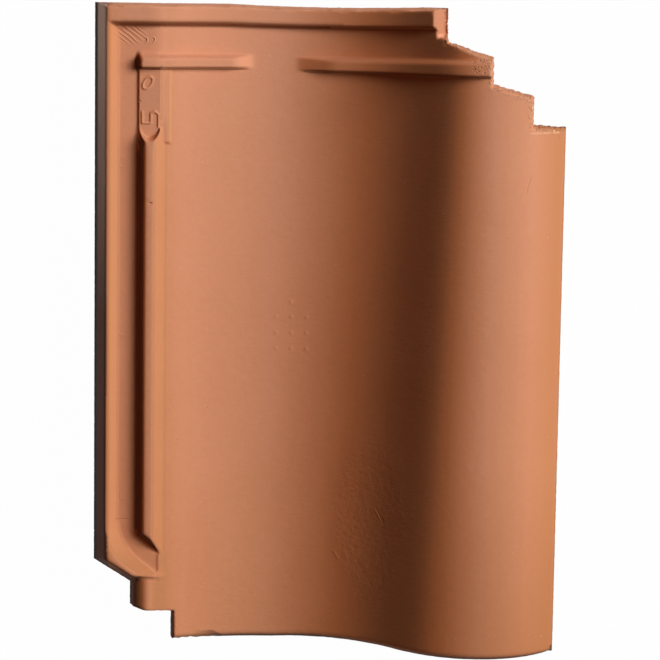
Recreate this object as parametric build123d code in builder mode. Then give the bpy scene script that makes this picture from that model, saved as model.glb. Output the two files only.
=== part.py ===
from build123d import *
from math import asin, atan2, cos, degrees, radians, sin, sqrt, tan
import os

# An interlocking single-roll pantile of fired clay, pressed and fired as one piece.
# X runs across the roof, Y runs up the slope towards the head, Z is up off the roof.
# The tile lies on its two hanging nibs and its foot rib, with its lowest point at Z = 0.

# Overall size
tile_width = 250.0
tile_length = 345.0
body_thickness = 12.0
standoff = 13.0

half_width = tile_width / 2
head_y = tile_length / 2
foot_y = -tile_length / 2
left_x = -half_width
right_x = half_width
pan_z = standoff + body_thickness

# The wave: a hollow pan and one roll, which narrows from the foot to the head
valley_from_left_foot = 94.6
valley_from_left_head = 102.6
crown_from_right_foot = 42.4
crown_from_right_head = 40.4
roll_rise_foot = 44.0
roll_rise_head = 41.5
shoulder_radius_foot = 59.0
shoulder_radius_head = 36.0
outer_roll_radius = 55.0
flank_relief = 4.7

# The drafted ends of the body, and the flap that covers the next tile's lock
foot_draft_run = 1.8
foot_draft_depth = 5.0
head_draft_run = 2.2
end_lip = 1.0
flap_rise = 17.0
flap_draft_run = 1.2

# The side lock along the left edge: an outer lip, a groove and an inner rib
lock_width = 36.0
lock_base_drop = 1.0
groove_rise = 13.5
lip_rise = 22.0
lip_outer_draft = 19.0
lip_inner_draft = 33.0
groove_from_left = 14.6
groove_width = 9.6
groove_radius = 2.0
crest_radius = 0.6
rib_base_width = 13.2
rib_top_rise = 20.3
rib_draft = 30.0
rib_head_gap = 67.0
rib_foot_gap = 59.9
rib_point_gap = 49.3
rib_radius = 0.8
pad_rise = 1.2
pad_head_gap = 34.0
hollow_from_rib = 6.2
hollow_radius = 4.8

# Where the lock turns across the lower left corner and runs out onto the pan
turn_start_gap = 65.0
turn_knee_wall = 19.9
turn_knee_from_left = 19.4
turn_end_wall = 17.6
turn_radius = 10.0
corner_gap = 43.3
shoulder_gap = 31.0
shoulder_from_left = 19.8

# The notch below it, with the rounded margin of the pan beside it
notch_gap = 14.9
notch_from_left = 42.1
notch_draft = 11.0
notch_corner_points = ((18.8, 4.6), (21.4, 2.2), (26.4, 0.7))
margin_rise = 16.0
margin_width = 11.0
margin_radius = 10.5

# The head lock: a rim along the head edge, a channel and two cross ribs
rim_height = 5.5
rim_width = 11.6
rim_step_run = 2.5
ridge_root = 0.6
cross_rib_height = 5.0
cross_rib_width = 8.0
cross_rib_head_gap = 27.1
cross_rib_bevel = 2.2
cross_rib_draft_run = 0.8
left_rib_from_left = 24.5
left_rib_length = 59.0
left_rib_start_run = 3.0
left_rib_end_run = 6.5
right_rib_from_left = 108.5
right_rib_start_run = 13.0
right_rib_end_from_right = 41.6

# The stepped upper right corner, each step a flat and then a slant that falls to the right
step_from_right = (63.3, 39.4, 17.8)
step_high_gaps = (17.3, 38.6, 60.1)
step_low_gaps = (25.1, 45.1, 61.6)
step_draft = 8.0
step_level_rise = 27.0
end_cut_draft = 20.0
end_cut_rise = 14.0
end_cut_gap = 13.4

# The underside
nib_width = 34.0
nib_length = 16.0
nib_head_gap = 12.0
nib_draft = 8.0
left_nib_from_left = 63.0
right_nib_from_right = 102.0
foot_rib_width = 8.0
foot_rib_gap = 42.0
foot_rib_from_left = 58.0
foot_rib_length = 92.0
bead_from_right = 20.5
bead_width = 5.0
bead_clearance = 2.5
bead_end_gap = 8.0


class Wave:
    """The wave across the tile at one place, measured on its upper face."""

    def __init__(self, y):
        share = (y - foot_y) / tile_length

        def blend(at_foot, at_head):
            return at_foot + share * (at_head - at_foot)

        self.valley_x = left_x + blend(valley_from_left_foot, valley_from_left_head)
        self.crown_x = right_x - blend(crown_from_right_foot, crown_from_right_head)
        self.rise = blend(roll_rise_foot, roll_rise_head)
        self.shoulder_radius = blend(shoulder_radius_foot, shoulder_radius_head)
        run = self.crown_x - self.valley_x
        self.flank = 2 * atan2(self.rise, run) - radians(flank_relief)
        radii = (run * sin(self.flank) - self.rise * cos(self.flank)) / (1 - cos(self.flank))
        self.pan_radius = radii - self.shoulder_radius
        edge_run = self.valley_x - (left_x + lock_width)
        self.edge_radius = (edge_run**2 + groove_rise**2) / (2 * groove_rise)
        self.edge_slope = asin(edge_run / self.edge_radius)

    def draw(self, lift, from_x, to_x):
        """Draw the wave from from_x to to_x, moved along its own normal by lift."""
        edge_radius = self.edge_radius - lift
        outer_radius = outer_roll_radius + lift
        crown_z = pan_z + self.rise
        tilt = degrees(self.flank)
        edge_angle = degrees(asin((self.valley_x - from_x) / edge_radius))
        end_angle = degrees(asin((to_x - self.crown_x) / outer_radius))
        edge = CenterArc((self.valley_x, pan_z + self.edge_radius), edge_radius,
                         270 - edge_angle, edge_angle)
        pan = CenterArc((self.valley_x, pan_z + self.pan_radius), self.pan_radius - lift,
                        270, tilt)
        shoulder = CenterArc((self.crown_x, crown_z - self.shoulder_radius),
                             self.shoulder_radius + lift, 90, tilt)
        roll = CenterArc((self.crown_x, crown_z - outer_roll_radius), outer_radius,
                         90 - end_angle, end_angle)
        Line(pan @ 1, shoulder @ 1)
        return edge @ 0, roll @ 0

    def height(self, x):
        """The height of the upper face."""
        pan_end = self.valley_x + self.pan_radius * sin(self.flank)
        roll_start = self.crown_x - self.shoulder_radius * sin(self.flank)
        if x < self.valley_x:
            return pan_z + self.edge_radius - sqrt(self.edge_radius**2 - (x - self.valley_x)**2)
        if x < pan_end:
            return pan_z + self.pan_radius - sqrt(self.pan_radius**2 - (x - self.valley_x)**2)
        if x < roll_start:
            return self.height(roll_start) - (roll_start - x) * tan(self.flank)
        radius = self.shoulder_radius if x < self.crown_x else outer_roll_radius
        return pan_z + self.rise - radius + sqrt(radius**2 - (x - self.crown_x)**2)


def wave_ridge(stations, bottom_lift):
    """A solid that follows the wave, with its upper face lifted as the stations say."""
    with BuildPart() as ridge:
        for y, top_lift in stations:
            wave = Wave(y)
            with BuildSketch(Plane.XZ.offset(-y)):
                with BuildLine():
                    top_start, top_end = wave.draw(top_lift, lock_x, right_x)
                    bottom_start, bottom_end = wave.draw(bottom_lift, lock_x, right_x)
                    Line(top_start, bottom_start)
                    Line(top_end, bottom_end)
                make_face()
        loft(ruled=True)
    return ridge.part


def lock_ridge(stations, from_x):
    """The same ridge, carried on level across the side lock."""
    slope = Wave(stations[0][0]).edge_slope
    with BuildPart() as ridge:
        with BuildSketch(Plane.YZ.offset(from_x)):
            with BuildLine():
                Polyline(
                    (stations[0][0], lock_base_z),
                    *[(y, groove_z + lift / cos(slope)) for y, lift in stations],
                    (stations[-1][0], lock_base_z),
                    close=True,
                )
            make_face()
        extrude(amount=lock_x - from_x)
    return ridge.part


lock_x = left_x + lock_width
groove_x = left_x + groove_from_left
rib_x = groove_x + groove_width
rib_end_x = rib_x + rib_base_width
groove_z = pan_z + groove_rise
lip_z = pan_z + lip_rise
lock_base_z = pan_z - lock_base_drop
beyond = tile_length

# The turn keeps its distance from the slanted corner
corner_slope = (corner_gap - shoulder_gap) / shoulder_from_left
turn_knee_y = foot_y + corner_gap - corner_slope * turn_knee_from_left + turn_knee_wall
turn_end_y = foot_y + corner_gap - corner_slope * lock_width + turn_end_wall

# The side lock is a block with its outer lip standing over a long groove
with BuildPart() as side_lock:
    with BuildSketch(Plane.XY.offset(lock_base_z)):
        with BuildLine():
            Polyline(
                (left_x, head_y + lock_width),
                (left_x, foot_y + corner_gap),
                (left_x + shoulder_from_left, foot_y + shoulder_gap),
                (lock_x + lock_width, foot_y + shoulder_gap),
                (lock_x + lock_width, head_y + lock_width),
                close=True,
            )
        make_face()
    extrude(amount=lip_z - lock_base_z, taper=lip_outer_draft)
    with BuildSketch(Plane.XY.offset(groove_z)):
        with BuildLine():
            FilletPolyline(
                (groove_x, head_y + 2 * lock_width),
                (groove_x, foot_y + turn_start_gap),
                (left_x + turn_knee_from_left, turn_knee_y),
                (lock_x, turn_end_y),
                (lock_x + 2 * lock_width, turn_end_y),
                (lock_x + 2 * lock_width, head_y + 2 * lock_width),
                radius=turn_radius,
                close=True,
            )
        make_face()
    extrude(amount=lip_rise, taper=-lip_inner_draft, mode=Mode.SUBTRACT)
    split(bisect_by=Plane.YZ.offset(lock_x), keep=Keep.BOTTOM)
    split(bisect_by=Plane.XZ.offset(-head_y), keep=Keep.TOP)
    # The groove's corner and the lip's crest are rounded
    groove_floor = side_lock.faces().filter_by(Axis.Z).sort_by(Axis.Z)[1]
    floor_edges = groove_floor.edges().filter_by_position(Axis.X, left_x, lock_x - 0.1)
    fillet(floor_edges.filter_by_position(Axis.Y, foot_y, head_y - 1), radius=groove_radius)
    crest = side_lock.faces().filter_by(Axis.Z).sort_by(Axis.Z)[-1]
    crest_edges = crest.edges().filter_by_position(Axis.X, left_x, lock_x - 0.1)
    fillet(crest_edges.filter_by_position(Axis.Y, foot_y, head_y - 0.1), radius=crest_radius)

# The rib between the groove and the pan, cut off on a slant at its foot
with BuildPart() as lock_rib:
    with BuildSketch(Plane.XY.offset(groove_z)):
        with BuildLine():
            Polyline(
                (rib_x, head_y - rib_head_gap),
                (rib_x, foot_y + rib_foot_gap),
                (rib_end_x, foot_y + rib_point_gap),
                (rib_end_x, head_y - rib_head_gap),
                close=True,
            )
        make_face()
    extrude(amount=rib_top_rise - groove_rise, taper=rib_draft)
    fillet(lock_rib.faces().sort_by(Axis.Z)[-1].edges(), radius=rib_radius)

# The flat pad above the rib
with BuildPart() as pad:
    with BuildSketch(Plane.XY.offset(lock_base_z)):
        with Locations((rib_x, head_y - pad_head_gap)):
            Rectangle(lock_x - rib_x, rib_head_gap - pad_head_gap, align=(Align.MIN, Align.MAX))
    extrude(amount=groove_z + pad_rise - lock_base_z)

# The rounded margin of the pan beside the notch
with BuildPart() as margin:
    with BuildSketch(Plane.XZ.offset(-(foot_y + notch_gap))):
        with BuildLine():
            Polyline(
                (left_x + shoulder_from_left, lock_base_z),
                (left_x + shoulder_from_left, pan_z + margin_rise),
                (left_x + shoulder_from_left + margin_width, pan_z + margin_rise),
                (lock_x + margin_radius, Wave(foot_y).height(lock_x + margin_radius) - 1),
                (lock_x + margin_radius, lock_base_z),
                close=True,
            )
        make_face()
        corners = vertices().sort_by(Axis.Y)[-2:]
        fillet(corners.sort_by(Axis.X)[0], radius=margin_radius)
    extrude(amount=-(turn_end_y - foot_y - notch_gap))


def fade(ridge, from_x, start_run, to_x, end_run):
    """Cut a ridge off on a ramp at each end, from from_x to to_x."""
    wave = Wave(head_y - cross_rib_head_gap)
    foot_z = {x: wave.height(max(x, lock_x)) for x in (from_x, to_x)}
    with BuildPart() as rib:
        add(ridge)
        with BuildSketch(Plane.XZ.offset(beyond)):
            with BuildLine():
                Polyline(
                    (from_x, 0),
                    (from_x, foot_z[from_x]),
                    (from_x + start_run, foot_z[from_x] + cross_rib_height),
                    (from_x + start_run, 2 * lip_z),
                    (to_x - end_run, 2 * lip_z),
                    (to_x - end_run, foot_z[to_x] + cross_rib_height),
                    (to_x, foot_z[to_x]),
                    (to_x, 0),
                    close=True,
                )
            make_face()
        extrude(amount=-2 * beyond, mode=Mode.INTERSECT)
    return rib.part


# The cross ribs have a bevelled upper side and fade out at their ends
rib_top_y = head_y - cross_rib_head_gap
rib_low_y = rib_top_y - cross_rib_width
rib_stations = [
    (rib_low_y, -ridge_root),
    (rib_low_y + cross_rib_draft_run, cross_rib_height),
    (rib_top_y - cross_rib_bevel, cross_rib_height),
    (rib_top_y, -ridge_root),
]
rib_band = wave_ridge(rib_stations, -body_thickness / 2)
left_rib_x = left_x + left_rib_from_left
left_rib_end_x = left_rib_x + left_rib_length
left_cross_rib = fade(rib_band, left_x, left_rib_start_run, left_rib_end_x, left_rib_end_run)
lock_cross_rib = fade(lock_ridge(rib_stations, groove_x), left_rib_x, left_rib_start_run,
                      left_rib_end_x, left_rib_end_run)
right_cross_rib = fade(rib_band, left_x + right_rib_from_left, right_rib_start_run,
                       right_x - right_rib_end_from_right, end_lip)

# The rim runs along the head edge, from the lip to the stepped corner
rim_stations = [
    (head_y - rim_width, -ridge_root),
    (head_y - rim_width + rim_step_run, rim_height),
    (head_y - head_draft_run, rim_height),
    (head_y, end_lip - body_thickness),
]
head_rim = wave_ridge(rim_stations, -body_thickness)
lock_rim = lock_ridge(rim_stations, groove_x - groove_radius)
body = wave_ridge(
    [
        (foot_y, -foot_draft_depth),
        (foot_y + foot_draft_run, 0),
        (head_y - head_draft_run, 0),
        (head_y, end_lip - body_thickness),
    ],
    -body_thickness,
)

with BuildPart() as roof_tile:
    add(body)

    # The level underside and the drafted side of the flap
    flap_z = pan_z + flap_rise
    with BuildSketch():
        with Locations((right_x - bead_from_right, 0)):
            Rectangle(half_width, 2 * beyond, align=(Align.MIN, Align.CENTER))
    extrude(amount=flap_z, mode=Mode.SUBTRACT)
    with BuildSketch(Plane.XZ.offset(beyond)):
        with BuildLine():
            Polyline(
                (right_x, flap_z),
                (right_x - flap_draft_run, pan_z + roll_rise_foot),
                (right_x + flap_draft_run, pan_z + roll_rise_foot),
                close=True,
            )
        make_face()
    extrude(amount=-2 * beyond, mode=Mode.SUBTRACT)

    add(head_rim)
    add(left_cross_rib)
    add(right_cross_rib)
    add(side_lock.part)
    add(lock_rim)
    add(lock_cross_rib)
    add(pad.part)
    add(lock_rib.part)
    add(margin.part)

    # The pad ends in a round hollow in the head of the rib
    with BuildSketch(Plane.XY.offset(groove_z + pad_rise)):
        with Locations((rib_x + hollow_from_rib, head_y - rib_head_gap)):
            Circle(hollow_radius)
    extrude(amount=rib_top_rise - groove_rise, taper=-rib_draft, mode=Mode.SUBTRACT)

    # The drafted head end of the side lock
    with BuildSketch(Plane.YZ.offset(left_x)):
        with BuildLine():
            Polyline(
                (head_y, lock_base_z),
                (head_y - head_draft_run, lip_z),
                (head_y + head_draft_run, lip_z),
                close=True,
            )
        make_face()
    extrude(amount=lock_width, mode=Mode.SUBTRACT)

    # The two nibs that hang on the batten
    nib_y = head_y - nib_head_gap - nib_length / 2
    for nib_x in (left_x + left_nib_from_left, right_x - right_nib_from_right):
        nib_top = Wave(nib_y).height(nib_x) - body_thickness / 2
        with BuildSketch(Plane.XY.offset(nib_top)):
            with Locations((nib_x, nib_y)):
                Rectangle(nib_width, nib_length)
        extrude(amount=-nib_top, taper=nib_draft)

    # The rib across the pan that seats on the tile below
    foot_rib_top = pan_z - body_thickness / 2
    with BuildSketch(Plane.XY.offset(foot_rib_top)):
        with Locations((left_x + foot_rib_from_left, foot_y + foot_rib_gap)):
            Rectangle(foot_rib_length, foot_rib_width, align=(Align.MIN, Align.CENTER))
    extrude(amount=-foot_rib_top, taper=nib_draft)

    # The bead that hangs into the groove of the next tile
    bead_low_z = groove_z + bead_clearance
    bead_top_z = pan_z + roll_rise_head - body_thickness
    bead_length = tile_length - step_high_gaps[-1] - 2 * bead_end_gap
    with BuildSketch(Plane.XZ.offset(-(foot_y + bead_end_gap))):
        with Locations((right_x - bead_from_right, bead_low_z)):
            Rectangle(bead_width, bead_top_z - bead_low_z, align=(Align.CENTER, Align.MIN))
    extrude(amount=-bead_length)

    # The stepped upper right corner, drafted above the level of the flank
    corner = [(right_x - step_from_right[0], head_y + beyond)]
    for from_right, high_gap, low_gap, next_from_right in zip(
        step_from_right, step_high_gaps, step_low_gaps, step_from_right[1:] + (0,)
    ):
        corner.append((right_x - from_right, head_y - high_gap))
        corner.append((right_x - next_from_right, head_y - low_gap))
    corner.append((right_x + beyond, corner[-1][1]))
    corner.append((right_x + beyond, head_y + beyond))
    step_z = pan_z + step_level_rise
    with BuildSketch(Plane.XY.offset(step_z)) as step_outline:
        with BuildLine():
            Polyline(*corner, close=True)
        make_face()
    extrude(amount=lip_z, taper=-step_draft, mode=Mode.SUBTRACT)
    extrude(step_outline.sketch, amount=-step_z, mode=Mode.SUBTRACT)

    # The slanted cut at the right end of the head rim
    end_x = right_x - step_from_right[0]
    end_z = pan_z + end_cut_rise
    end_cut_height = 2 * roll_rise_head
    end_cut_run = end_cut_height * tan(radians(end_cut_draft))
    with BuildSketch(Plane.XZ.offset(-(head_y - end_cut_gap))):
        with BuildLine():
            Polyline(
                (end_x, end_z),
                (end_x - end_cut_run, end_z + end_cut_height),
                (end_x + end_cut_run, end_z + end_cut_height),
                close=True,
            )
        make_face()
    extrude(amount=-beyond, mode=Mode.SUBTRACT)

    # The notched lower left corner
    with BuildSketch(Plane.XY.offset(lock_base_z)) as notch_outline:
        with BuildLine():
            Polyline(
                (left_x - beyond, foot_y - beyond),
                (left_x - beyond, foot_y + notch_gap + notch_corner_points[0][1]),
                *[(left_x + x, foot_y + notch_gap + y) for x, y in notch_corner_points],
                (left_x + notch_from_left, foot_y + notch_gap),
                (left_x + notch_from_left, foot_y - beyond),
                close=True,
            )
        make_face()
    extrude(amount=lip_z, taper=-notch_draft, mode=Mode.SUBTRACT)
    extrude(notch_outline.sketch, amount=-lock_base_z, mode=Mode.SUBTRACT)

roof_tile.part.label = "roof_tile"
os.makedirs("parts", exist_ok=True)
export_step(roof_tile.part, "parts/roof_tile.step")
print("solids", len(roof_tile.solids()), "volume", round(roof_tile.part.volume / 1000, 1), "cm3")
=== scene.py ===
import math
import bpy
from mathutils import Matrix, Vector
from mathutils.geometry import delaunay_2d_cdt


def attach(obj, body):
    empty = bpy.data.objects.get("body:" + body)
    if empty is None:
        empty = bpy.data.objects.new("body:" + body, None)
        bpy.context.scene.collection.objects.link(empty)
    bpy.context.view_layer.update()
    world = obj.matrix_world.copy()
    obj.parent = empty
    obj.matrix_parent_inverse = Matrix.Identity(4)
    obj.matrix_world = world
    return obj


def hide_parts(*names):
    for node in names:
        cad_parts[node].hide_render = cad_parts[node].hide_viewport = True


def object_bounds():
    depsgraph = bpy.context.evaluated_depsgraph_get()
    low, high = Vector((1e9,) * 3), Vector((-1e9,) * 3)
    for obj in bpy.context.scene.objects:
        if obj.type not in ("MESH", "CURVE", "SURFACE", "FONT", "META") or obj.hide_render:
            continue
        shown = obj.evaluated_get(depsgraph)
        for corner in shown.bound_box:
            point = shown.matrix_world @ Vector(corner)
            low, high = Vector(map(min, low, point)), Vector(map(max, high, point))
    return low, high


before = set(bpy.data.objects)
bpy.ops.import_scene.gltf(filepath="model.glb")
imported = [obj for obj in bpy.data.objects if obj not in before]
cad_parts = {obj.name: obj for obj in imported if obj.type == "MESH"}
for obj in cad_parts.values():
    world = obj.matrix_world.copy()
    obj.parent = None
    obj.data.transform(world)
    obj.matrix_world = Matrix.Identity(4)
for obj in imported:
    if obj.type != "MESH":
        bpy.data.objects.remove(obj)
cad_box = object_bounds()

# The tile is drawn and pressed in millimetres, and only the last node turns it into metres.
# X runs across the roof, Y runs up the slope towards the head, Z is up off the roof.
MM = 0.001
low_corner, high_corner = cad_box
width = (high_corner[0] - low_corner[0]) / MM
length = (high_corner[1] - low_corner[1]) / MM
left_x = -width / 2
right_x = width / 2
foot_y = -length / 2
head_y = length / 2

# Sizes of the pressed shape, each an input of the node tree that presses the blank
SIZES = dict(
    pan_z=25.0,
    body_thickness=12.0,
    valley_from_left_foot=94.6,
    valley_from_left_head=102.6,
    crown_from_right_foot=42.4,
    crown_from_right_head=40.4,
    roll_rise_foot=44.0,
    roll_rise_head=41.5,
    shoulder_radius_foot=59.0,
    shoulder_radius_head=36.0,
    outer_roll_radius=55.0,
    flank_relief=4.7,
    groove_rise=13.5,
    lip_rise=22.0,
    rib_top_rise=20.3,
    pad_rise=1.2,
    rim_height=5.5,
    cross_rib_height=5.0,
    margin_rise=16.0,
    margin_radius=10.5,
    margin_draft_run=1.6,
    flap_rise=17.0,
    arris=1.1,
)
pan_z = SIZES["pan_z"]
groove_z = pan_z + SIZES["groove_rise"]

# How far to each side the wave is averaged, so that its arcs run on softly
wave_ease = 5.0

# Plan of the side lock
lock_base_drop = 1.0
lock_base_z = pan_z - lock_base_drop
lock_x = left_x + 36.0
groove_x = left_x + 13.6
rib_x = left_x + 24.2
rib_end_x = rib_x + 13.2
lip_outer_draft = 19.0
lip_inner_draft = 33.0
rib_draft = 30.0
rib_head_y = head_y - 67.0
rib_top_y = rib_head_y + 2.6
rib_hollow = (left_x + 30.4, rib_head_y + 2.0)
rib_hollow_radius = 4.6
hollow_steepness = 1.5
pad_foot_y = rib_head_y - 6.0
rib_slant = ((rib_x, foot_y + 59.9), (rib_end_x, foot_y + 49.3))
pad_head_y = head_y - 33.4
pad_run_out = 4.6
pad_edge_rise = 3.0
pad_end_start_y = rib_head_y - 1.0
pad_end_run = 9.0
pad_end_x = lock_x - 0.5
lock_reach_x = lock_x + 20.0
lip_run_out_rise = 1.6
ridge_on_lock = 1.1
ridge_on_lock_growth = 0.012
corner_start = (left_x, foot_y + 43.3)
corner_end = (left_x + 19.8, foot_y + 31.0)
turn_points = (
    (groove_x, foot_y + 65.0),
    (left_x + 18.8, foot_y + 51.0),
    (lock_x, foot_y + 38.5),
)

# Plan of the notch and the stepped corner
notch_x = left_x + 42.1
notch_y = foot_y + 14.9
notch_draft = 11.0
notch_corner = (
    (corner_end[0], notch_y + 3.7),
    (left_x + 21.4, notch_y + 2.2),
    (left_x + 26.4, notch_y + 0.7),
)
step_high = tuple((right_x - x, head_y - y) for x, y in (
    (63.3, 17.3), (39.4, 38.6), (17.8, 60.1)))
step_low = tuple((right_x - x, head_y - y) for x, y in (
    (39.4, 25.1), (17.8, 45.1), (0.0, 61.6)))
step_draft = 5.5
step_level_z = pan_z + 27.0
end_cut_draft = 20.0
end_cut_z = pan_z + 14.0
end_cut_foot_y = head_y - 13.4
end_cut_foot_rise = 8.0
flap_edge_rise = 22.5
margin_edge_rise = 4.0
margin_head_y = turn_points[2][1] - 1.0
margin_head_rise = 1.2
margin_head_drop = 2.0

# The head rim and the cross ribs
rim_y = head_y - 11.6
rim_step_run = 1.7
ridge_root = 0.6
head_draft_run = 1.4
end_lip = 1.0
foot_draft_run = 2.8
foot_draft_depth = 5.0
cross_rib_y = head_y - 27.1
cross_rib_width = 8.0
cross_rib_bevel = 1.9
left_rib_narrowing = 0.9
left_rib_shift = 0.6
right_rib_taper = 0.012
cross_rib_draft_run = 0.8
left_rib_x = left_x + 24.0
left_rib_end_x = left_rib_x + 63.0
left_rib_start_run = 2.2
left_rib_end_run = 16.0
right_rib_x = left_x + 106.0
right_rib_start_run = 24.0
rib_end_root = 0.5
rib_end_overshoot = 1.5

# How softly one surface runs into the next
rim_blend = 4.0
cross_rib_blend = 1.2
cross_rib_end_blend = 2.0
ridge_meeting_blend = 0.5
ridge_foot_blend = 0.8
end_blend = 2.5
lip_blend = 3.0
lip_crest_blend = 4.5
groove_wall_blend = 3.0
groove_turn_blend = 7.0
groove_floor_blend = 0.8
ridge_in_groove_blend = 1.2
inner_rib_crest_blend = 2.2
inner_rib_foot_blend = 1.2
margin_foot_blend = 2.0
margin_pan_blend = 3.0
margin_head_blend = 4.0
lock_blend = 3.0
lip_run_out_blend = 6.0
steps_blend = 5.0
end_cut_blend = 2.0
notch_blend = 3.0
flap_blend = 4.0
nib_foot_blend = 2.5

# Relief on the pad and the pan: a ring, a plain digit on its side, and small pips
ring_center = (left_x + 29.2, head_y - 41.6)
ring_radii = (2.0, 3.5)
ring_turn = 35.0
mark_half_width = 0.5
mark_height = 0.55
digit_line = tuple((left_x + x, head_y - y) for x, y in (
    (26.4, 57.0), (26.4, 62.8), (30.9, 62.7), (30.9, 57.7), (33.1, 56.6), (35.0, 58.4), (34.9, 64.6)))
pip_places = [(-27.0 + 8.2 * column, 5.5 - 8.6 * row) for column in range(3) for row in range(3)]
pip_places.append((-19.0, 13.8))
pip_radius = 1.1
pip_height = 0.13

# Marks of handling: patches (middle and half size), rings (x, y, radius, height) and lines (start, end,
# half width, height). Rings smaller than a half ring's limit show their right half alone.
scratch_turn = 37.0
scratch_gap = 2.0
scratch_height = 0.22
scratched_patch = (-105.0, 156.5, 9.0, 6.0)
wrinkled_patch = (26.0, -102.0, 28.0, 62.0)
wrinkle_height = 0.42
pitted_patch = (78.3, 143.6, 7.0, 5.0)
pit_depth = 1.6
half_ring_limit = 2.0
ring_line_half = 0.6
ring_marks = (
    (-97.6, 153.4, 1.4, 0.4), (-93.6, 153.6, 1.4, 0.4),
    (-108.4, 88.3, 2.4, 0.1), (-108.5, -1.7, 2.4, 0.1), (-107.6, -91.0, 2.4, 0.1))
line_marks = (
    ((-112.4, -104.3), (-105.5, -104.3), 0.5, -0.25),
    ((-94.4, 67.9), (-93.4, 67.9), 0.8, -0.5),
    ((-100.4, 121.6), (-99.8, 121.2), 0.6, -0.35),
    ((107.8, 111.1), (108.2, 110.7), 0.7, -0.5),
    ((26.8, -95.0), (31.0, -102.0), 0.5, 0.15),
    ((28.6, -96.0), (32.6, -104.0), 0.5, -0.15),
    ((103.2, 77.0), (105.5, 85.9), 0.4, -0.15),
    ((6.0, -122.0), (8.4, -126.0), 1.0, 0.12))

# A pale scraped line beside the last step
scraped_line = ((105.0, 108.7), (120.6, 108.9))

# How far the ends of the tile draw in at the middle, and how rough the edges are
head_bow = (-2.0, 52.0, 1.3)
foot_bow = (8.0, 36.0, 1.0)
bow_reach = 30.0
edge_reach = 2.4
edge_wear = 0.16
cut_wear = 0.5
wear_shift = 4.0
wear_noise = dict(detail=4.0, roughness=0.65)
wander_scale = 0.55
drift_scale = 0.45
drift_place_shift = (71.0, 13.0, 5.0)
crumble_scale = 1.3
crumb_center_x = left_x + 51.0
crumb_half_width = 13.0
crumb_shift = 3.0
crumb_bias = 0.35
chip_depth = 1.1
lip_wall_reach = 4.2

# The underside
bead_x = right_x - 20.5
bead_half_width = 2.5
bead_clearance = 2.5
bead_foot_y = foot_y + 8.0
bead_head_y = head_y - 68.1
nib_half_width = 17.0
nib_half_length = 8.0
nib_y = head_y - 20.0
nib_xs = (left_x + 63.0, right_x - 102.0)
nib_draft = 8.0
foot_rib_half_width = 4.0
foot_rib_y = foot_y + 42.0
foot_rib_xs = (left_x + 58.0, left_x + 150.0)
standing_sink = 0.05

# Colours, as red, green and blue: of the clay itself, of what lies on it, and of the painted shade and
# painted reflection on the lip's outer wall
fired_deep = (0.585, 0.225, 0.105, 1.0)
fired_pale = (0.71, 0.302, 0.168, 1.0)
edge_clay = (0.64, 0.25, 0.106, 1.0)
torn_clay = (0.95, 0.52, 0.30, 1.0)
scraped_clay = (0.93, 0.50, 0.30, 1.0)
wall_shade_brown = (0.12, 0.042, 0.024, 1.0)
wall_shade_black = (0.04, 0.024, 0.018, 1.0)
wall_painted_reflection = (1.0, 0.62, 0.48, 1.0)
edge_dark = (0.09, 0.04, 0.026, 1.0)
pale_speck = (0.86, 0.52, 0.36, 1.0)
dark_speck = (0.25, 0.09, 0.05, 1.0)

# Tints, which are multiplied over the clay. The first five are painted shade by the way the surface faces the
# lamps, and the lip's brow tint is painted shade too
left_facing_shade_tint = (1.0, 0.765, 0.54, 1.0)
flank_shade_tint = (0.90, 0.97, 1.0, 1.0)
lock_wall_shade_tint = (0.16, 0.12, 0.09, 1.0)
lip_inner_shade_tint = (0.80, 0.81, 0.70, 1.0)
foot_facing_shade_tint = (0.55, 0.50, 0.42, 1.0)
right_edge_tint = (0.84, 0.82, 0.77, 1.0)
low_right_tint = (0.82, 0.78, 0.70, 1.0)
groove_corner_dark_tint = (0.25, 0.14, 0.12, 1.0)
rib_start_dark_tint = (0.32, 0.23, 0.20, 1.0)
lip_brow_shade_tint = (0.50, 0.44, 0.40, 1.0)
end_cut_tint = (0.76, 0.72, 0.68, 1.0)
step_cut_tint = (0.86, 0.82, 0.76, 1.0)

# The studio: a white floor, a dim surrounding light, two broad lamps (name, degrees above the floor,
# degrees towards the head, strength) and a camera
floor_half = 4.0
floor_grey = (0.8, 0.8, 0.8, 1.0)
floor_whiteness = 0.985
plain_white = (1.0, 1.0, 1.0, 1.0)
ambient_color = (1.0, 0.75, 0.6, 1.0)
ambient_strength = 0.004
lamp_spread = 26.0
lamps = (("high_key", 39.5, 24.0, 2.02), ("low_key", 30.6, 14.0, 1.7))
camera_eye = (2.184, 203.905, 1467.437)
camera_tilt = 8.1
camera_roll = 0.0148329
focal_length_pixels = 2700.0
picture_width_pixels = 660.0


class Value:
    """An output of a node, ready for use in an expression."""

    def __init__(self, tree, socket):
        self.tree = tree
        self.socket = socket

    def __add__(self, other):
        return self.tree.maths("ADD", self, other)

    def __sub__(self, other):
        return self.tree.maths("SUBTRACT", self, other)

    def __rsub__(self, other):
        return self.tree.maths("SUBTRACT", other, self)

    def __mul__(self, other):
        return self.tree.maths("MULTIPLY", self, other)

    def __truediv__(self, other):
        return self.tree.maths("DIVIDE", self, other)

    def __pow__(self, other):
        return self.tree.maths("POWER", self, other)

    def __neg__(self):
        return self.tree.maths("MULTIPLY", self, -1.0)

    def __abs__(self):
        return self.tree.maths("ABSOLUTE", self)

    def __gt__(self, other):
        return self.tree.maths("GREATER_THAN", self, other)

    def __lt__(self, other):
        return self.tree.maths("LESS_THAN", self, other)

    __radd__ = __add__
    __rmul__ = __mul__


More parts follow.
